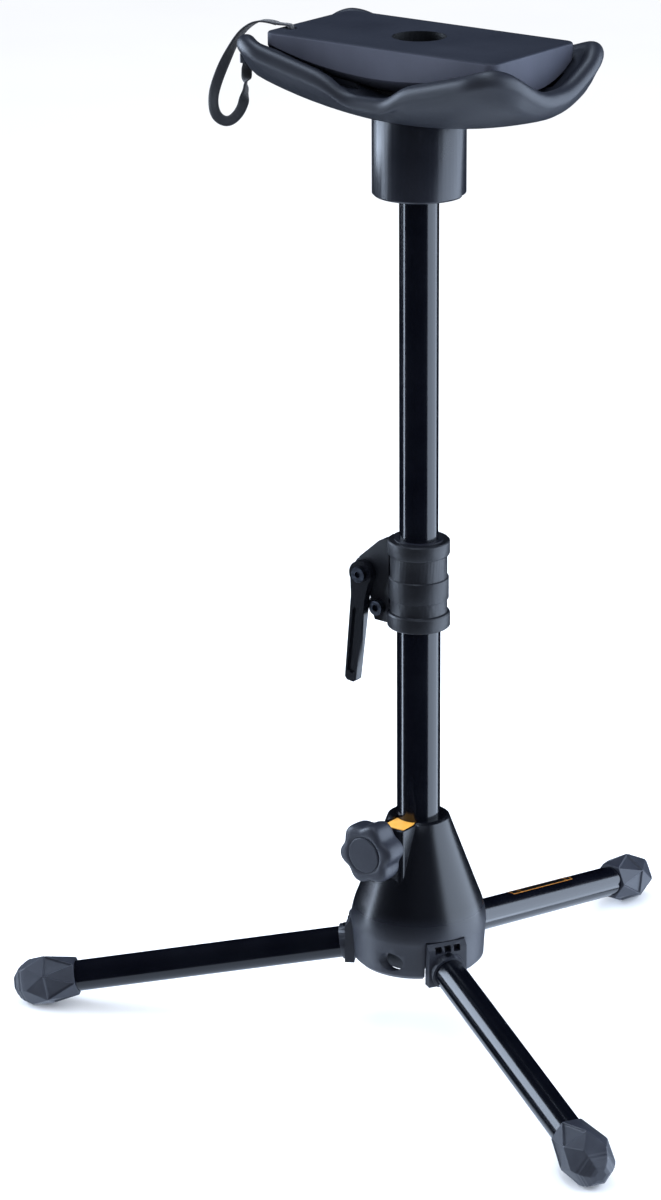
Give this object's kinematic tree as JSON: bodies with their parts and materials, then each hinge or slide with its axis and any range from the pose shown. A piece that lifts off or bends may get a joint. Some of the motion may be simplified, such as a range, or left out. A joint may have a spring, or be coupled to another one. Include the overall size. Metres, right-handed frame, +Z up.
{
  "type": "instrument stand",
  "caption": "Low instrument stand: folding tripod hub, telescopic mast with quick clutch, swivelling four-lobed cradle and a lift-out block with a centre hole.",
  "frame": {"origin": "on the floor under the mast axis", "axes": "+Z up along the mast; X along the cradle's long side; the hub's clamp knob points to -Y"},
  "size_m": [0.4832, 0.4228, 0.6737],
  "materials": {
    "gloss_paint": "glossy black enamel over steel tube",
    "boot_rubber": "matte moulded rubber",
    "orange_plastic": "satin amber moulded plastic",
    "hub_plastic": "semi-gloss black moulded plastic",
    "label_film": "thin printed film with an amber outline",
    "pad_rubber": "matte rubber",
    "webbing": "woven polyester webbing",
    "block_plastic": "semi-matte black moulded plastic",
    "cradle_plastic": "satin black moulded plastic",
    "brass": "turned brass",
    "bare_steel": "zinc-plated steel",
    "black_steel": "black-oxide steel",
    "black_plastic": "matte black moulded plastic"
  },
  "bodies": {
    "hub": {"hub_shell": "hub_plastic", "hub_core": "black_plastic", "hub_screws": "bare_steel", "knob_nut": "brass", "leg_pin_rear": "bare_steel", "leg_pin_left": "bare_steel", "leg_pin_right": "bare_steel"},
    "clamp": {"clamp_shoe": "orange_plastic"},
    "knob": {"knob_stud": "bare_steel", "lock_knob": "black_plastic", "knob_cap": "black_plastic"},
    "leg_rear": {"leg_tube_rear": "gloss_paint", "leg_holder_rear": "black_plastic", "leg_rivet_rear": "bare_steel", "leg_boot_rear": "boot_rubber", "leg_label": "label_film"},
    "leg_left": {"leg_tube_left": "gloss_paint", "leg_holder_left": "black_plastic", "leg_rivet_left": "bare_steel", "leg_boot_left": "boot_rubber"},
    "leg_right": {"leg_tube_right": "gloss_paint", "leg_holder_right": "black_plastic", "leg_rivet_right": "bare_steel", "leg_boot_right": "boot_rubber"},
    "lower": {"lower_mast": "gloss_paint", "mast_plug": "black_plastic", "clutch_body": "black_plastic", "clutch_bushing": "black_plastic", "pinch_bolt": "black_steel", "pinch_nut": "bare_steel", "lever_bolt": "black_steel", "lever_nut": "bare_steel", "lever_washer": "bare_steel"},
    "lever": {"clutch_lever": "black_plastic"},
    "upper": {"upper_mast": "gloss_paint", "mast_glide": "black_plastic", "mast_spigot": "bare_steel", "thrust_washer": "bare_steel", "spindle_screw": "bare_steel"},
    "cradle": {"swivel_housing": "cradle_plastic", "cradle_shell": "cradle_plastic", "cradle_pad": "pad_rubber", "cradle_screws": "bare_steel", "strap": "webbing", "strap_anchor": "black_plastic"},
    "block": {"insert_block": "block_plastic", "strap_eyelet": "black_steel", "strap_tab": "webbing"}
  },
  "joints": [
    {"name": "shoe_slide", "type": "slide", "parent": "hub", "child": "clamp", "axis": [0, -1, 0], "range_m": [0, 0.0015]},
    {"name": "knob_turn", "type": "hinge", "parent": "clamp", "child": "knob", "pos_m": [0, -0.05, 0.14], "axis": [0, -1, 0], "range_deg": [0, 360]},
    {"name": "mast_set", "type": "slide", "parent": "hub", "child": "lower", "axis": [0, 0, 1], "range_m": [0, 0.04]},
    {"name": "lever_swing", "type": "hinge", "parent": "lower", "child": "lever", "pos_m": [-0.034, -0.015, 0.315], "axis": [0, 1, 0], "range_deg": [0, 120]},
    {"name": "height_slide", "type": "slide", "parent": "lower", "child": "upper", "axis": [0, 0, 1], "range_m": [-0.21, 0.01]},
    {"name": "cradle_swivel", "type": "hinge", "parent": "upper", "child": "cradle", "pos_m": [0, 0, 0.6], "axis": [0, 0, 1], "continuous": true},
    {"name": "block_lift", "type": "slide", "parent": "cradle", "child": "block", "axis": [0, 0, 1], "range_m": [0, 0.06]},
    {"name": "leg_fold_rear", "type": "hinge", "parent": "hub", "child": "leg_rear", "pos_m": [0, 0.0287, 0.059], "axis": [-1, 0, 0], "range_deg": [0, 78]},
    {"name": "leg_fold_left", "type": "hinge", "parent": "hub", "child": "leg_left", "pos_m": [-0.02485, -0.01435, 0.059], "axis": [0.5, -0.866, 0], "range_deg": [0, 78]},
    {"name": "leg_fold_right", "type": "hinge", "parent": "hub", "child": "leg_right", "pos_m": [0.02485, -0.01435, 0.059], "axis": [0.5, 0.866, 0], "range_deg": [0, 78]}
  ],
  "couplings": [
    {"joint": "shoe_slide", "follows": "knob_turn", "m_per_rad": 0.000238}
  ]
}
